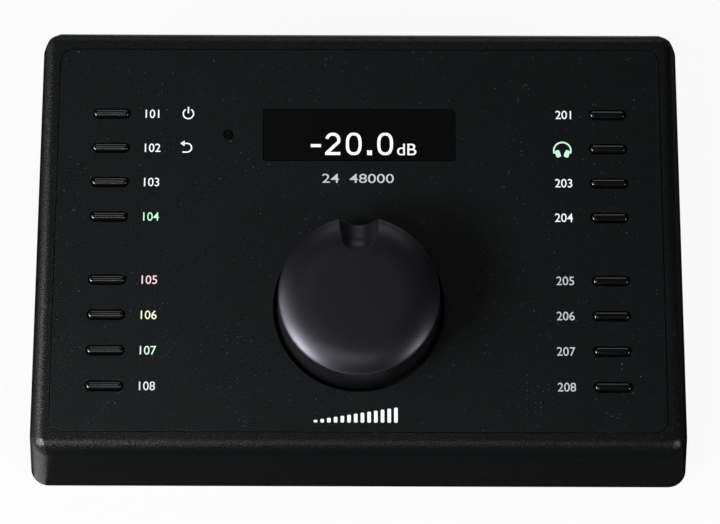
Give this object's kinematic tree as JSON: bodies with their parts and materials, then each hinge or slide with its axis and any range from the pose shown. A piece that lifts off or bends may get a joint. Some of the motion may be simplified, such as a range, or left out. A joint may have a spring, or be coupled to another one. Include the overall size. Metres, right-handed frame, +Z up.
{
  "type": "studio monitor controller",
  "caption": "Wedge-shaped desktop controller for studio loudspeakers: tilted black panel with a large turning and pressing knob, a display window and two columns of slim keys.",
  "frame": {"origin": "bottom centre of the bounding box, on the surface that the feet stand on", "axes": "+X to the user's right, -Y to the front (the low edge, nearest the user), +Z up"},
  "size_m": [0.204, 0.1418, 0.0583],
  "materials": {
    "case_paint": "near-black fine-textured paint on die-cast metal",
    "panel_paint": "near-black satin paint on the flat panel plate",
    "base_paint": "black coated sheet metal",
    "window_plastic": "gloss black window",
    "knob_plastic": "matt dark violet-grey",
    "key_plastic": "satin black plastic",
    "dark_plastic": "black moulded plastic",
    "connector_shell": "black connector housing",
    "board": "green circuit board",
    "ribbon": "light grey flat cable",
    "foot_rubber": "black rubber",
    "screw_steel": "blackened steel",
    "zinc": "bright plated steel",
    "nickel": "nickel plate",
    "brass": "turned brass"
  },
  "bodies": {
    "housing": {"case_shell": "case_paint", "base_plate": "base_paint", "base_screw_1": "screw_steel", "base_screw_2": "screw_steel", "base_screw_3": "screw_steel", "base_screw_4": "screw_steel", "foot_1": "foot_rubber", "foot_2": "foot_rubber", "foot_3": "foot_rubber", "foot_4": "foot_rubber", "front_overlay": "panel_paint", "display_glass": "window_plastic", "display_module": "dark_plastic", "sensor_lens": "window_plastic", "knob_well": "dark_plastic", "encoder_body": "zinc", "encoder_washer": "zinc", "encoder_nut": "zinc", "control_board": "board", "main_board": "board", "processor_shield": "zinc", "ribbon_cable": "ribbon", "rear_panel": "base_paint", "line_in_left": "connector_shell", "line_in_right": "connector_shell", "digital_in": "connector_shell", "digital_out": "connector_shell", "headphone_socket": "dark_plastic", "headphone_nut": "nickel", "word_clock_socket": "nickel", "word_clock_nut": "nickel", "network_socket": "zinc", "usb_socket": "zinc", "power_inlet": "dark_plastic"},
    "knob_carriage": {"encoder_plunger": "brass"},
    "knob_rotor": {"knob": "knob_plastic", "knob_bush": "brass", "encoder_shaft": "zinc"},
    "body_key_01": {"key_01": "key_plastic"},
    "body_key_02": {"key_02": "key_plastic"},
    "body_key_03": {"key_03": "key_plastic"},
    "body_key_04": {"key_04": "key_plastic"},
    "body_key_05": {"key_05": "key_plastic"},
    "body_key_06": {"key_06": "key_plastic"},
    "body_key_07": {"key_07": "key_plastic"},
    "body_key_08": {"key_08": "key_plastic"},
    "body_key_09": {"key_09": "key_plastic"},
    "body_key_10": {"key_10": "key_plastic"},
    "body_key_11": {"key_11": "key_plastic"},
    "body_key_12": {"key_12": "key_plastic"},
    "body_key_13": {"key_13": "key_plastic"},
    "body_key_14": {"key_14": "key_plastic"},
    "body_key_15": {"key_15": "key_plastic"},
    "body_key_16": {"key_16": "key_plastic"},
    "body_latch_left": {"latch_left": "nickel"},
    "body_latch_right": {"latch_right": "nickel"},
    "body_latch_digital": {"latch_digital": "nickel"}
  },
  "joints": [
    {"name": "knob_push", "type": "slide", "parent": "housing", "child": "knob_carriage", "axis": [0, 0.225, -0.9744], "range_m": [0, 0.0005], "stiffness_N_per_m": 3000, "springref_m": -0.0005},
    {"name": "knob_turn", "type": "hinge", "parent": "knob_carriage", "child": "knob_rotor", "pos_m": [0, -0.02564, 0.03549], "axis": [0, -0.225, 0.9744], "continuous": true},
    {"name": "key_01_press", "type": "slide", "parent": "housing", "child": "body_key_01", "axis": [0, 0.225, -0.9744], "range_m": [0, 0.0007], "stiffness_N_per_m": 600, "springref_m": -0.0004},
    {"name": "key_02_press", "type": "slide", "parent": "housing", "child": "body_key_02", "axis": [0, 0.225, -0.9744], "range_m": [0, 0.0007], "stiffness_N_per_m": 600, "springref_m": -0.0004},
    {"name": "key_03_press", "type": "slide", "parent": "housing", "child": "body_key_03", "axis": [0, 0.225, -0.9744], "range_m": [0, 0.0007], "stiffness_N_per_m": 600, "springref_m": -0.0004},
    {"name": "key_04_press", "type": "slide", "parent": "housing", "child": "body_key_04", "axis": [0, 0.225, -0.9744], "range_m": [0, 0.0007], "stiffness_N_per_m": 600, "springref_m": -0.0004},
    {"name": "key_05_press", "type": "slide", "parent": "housing", "child": "body_key_05", "axis": [0, 0.225, -0.9744], "range_m": [0, 0.0007], "stiffness_N_per_m": 600, "springref_m": -0.0004},
    {"name": "key_06_press", "type": "slide", "parent": "housing", "child": "body_key_06", "axis": [0, 0.225, -0.9744], "range_m": [0, 0.0007], "stiffness_N_per_m": 600, "springref_m": -0.0004},
    {"name": "key_07_press", "type": "slide", "parent": "housing", "child": "body_key_07", "axis": [0, 0.225, -0.9744], "range_m": [0, 0.0007], "stiffness_N_per_m": 600, "springref_m": -0.0004},
    {"name": "key_08_press", "type": "slide", "parent": "housing", "child": "body_key_08", "axis": [0, 0.225, -0.9744], "range_m": [0, 0.0007], "stiffness_N_per_m": 600, "springref_m": -0.0004},
    {"name": "key_09_press", "type": "slide", "parent": "housing", "child": "body_key_09", "axis": [0, 0.225, -0.9744], "range_m": [0, 0.0007], "stiffness_N_per_m": 600, "springref_m": -0.0004},
    {"name": "key_10_press", "type": "slide", "parent": "housing", "child": "body_key_10", "axis": [0, 0.225, -0.9744], "range_m": [0, 0.0007], "stiffness_N_per_m": 600, "springref_m": -0.0004},
    {"name": "key_11_press", "type": "slide", "parent": "housing", "child": "body_key_11", "axis": [0, 0.225, -0.9744], "range_m": [0, 0.0007], "stiffness_N_per_m": 600, "springref_m": -0.0004},
    {"name": "key_12_press", "type": "slide", "parent": "housing", "child": "body_key_12", "axis": [0, 0.225, -0.9744], "range_m": [0, 0.0007], "stiffness_N_per_m": 600, "springref_m": -0.0004},
    {"name": "key_13_press", "type": "slide", "parent": "housing", "child": "body_key_13", "axis": [0, 0.225, -0.9744], "range_m": [0, 0.0007], "stiffness_N_per_m": 600, "springref_m": -0.0004},
    {"name": "key_14_press", "type": "slide", "parent": "housing", "child": "body_key_14", "axis": [0, 0.225, -0.9744], "range_m": [0, 0.0007], "stiffness_N_per_m": 600, "springref_m": -0.0004},
    {"name": "key_15_press", "type": "slide", "parent": "housing", "child": "body_key_15", "axis": [0, 0.225, -0.9744], "range_m": [0, 0.0007], "stiffness_N_per_m": 600, "springref_m": -0.0004},
    {"name": "key_16_press", "type": "slide", "parent": "housing", "child": "body_key_16", "axis": [0, 0.225, -0.9744], "range_m": [0, 0.0007], "stiffness_N_per_m": 600, "springref_m": -0.0004},
    {"name": "latch_left_press", "type": "slide", "parent": "housing", "child": "body_latch_left", "axis": [0, -1, 0], "range_m": [0, 0.0012], "stiffness_N_per_m": 1000, "springref_m": -0.0005},
    {"name": "latch_right_press", "type": "slide", "parent": "housing", "child": "body_latch_right", "axis": [0, -1, 0], "range_m": [0, 0.0012], "stiffness_N_per_m": 1000, "springref_m": -0.0005},
    {"name": "latch_digital_press", "type": "slide", "parent": "housing", "child": "body_latch_digital", "axis": [0, -1, 0], "range_m": [0, 0.0012], "stiffness_N_per_m": 1000, "springref_m": -0.0005}
  ]
}
